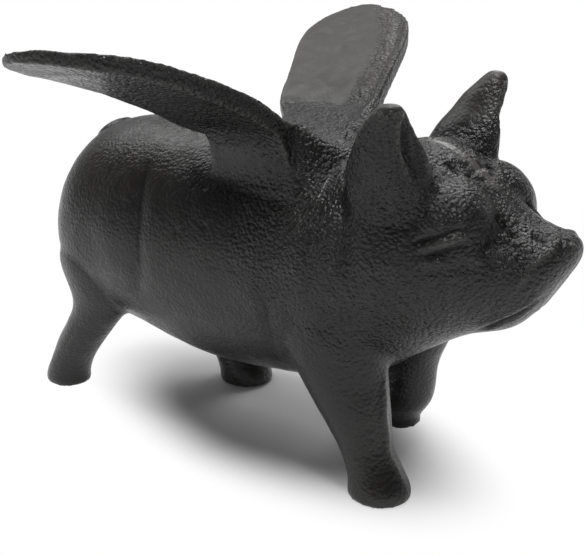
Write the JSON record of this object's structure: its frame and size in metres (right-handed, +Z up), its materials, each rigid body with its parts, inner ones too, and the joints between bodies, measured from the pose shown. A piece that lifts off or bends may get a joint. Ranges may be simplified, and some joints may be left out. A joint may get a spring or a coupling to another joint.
{
  "type": "winged pig figurine",
  "caption": "Cast iron figurine of a walking pig with spread wings, its hollow body cast in halves that are screwed together.",
  "frame": {"origin": "on the floor, under the middle of the figurine's bounding box", "axes": "+X towards the snout, +Y towards the pig's left, +Z up"},
  "size_m": [0.1458, 0.128, 0.1014],
  "materials": {
    "body": "sand-cast, oiled dark grey",
    "wings": "sand-cast, oiled dark grey",
    "screws": "turned, dull"
  },
  "bodies": {
    "root": {"right_body_half": "body", "left_body_half": "body", "right_wing": "wings", "left_wing": "wings", "body_screw": "screws", "right_wing_front_screw": "screws", "right_wing_rear_screw": "screws", "left_wing_front_screw": "screws", "left_wing_rear_screw": "screws"}
  },
  "joints": []
}
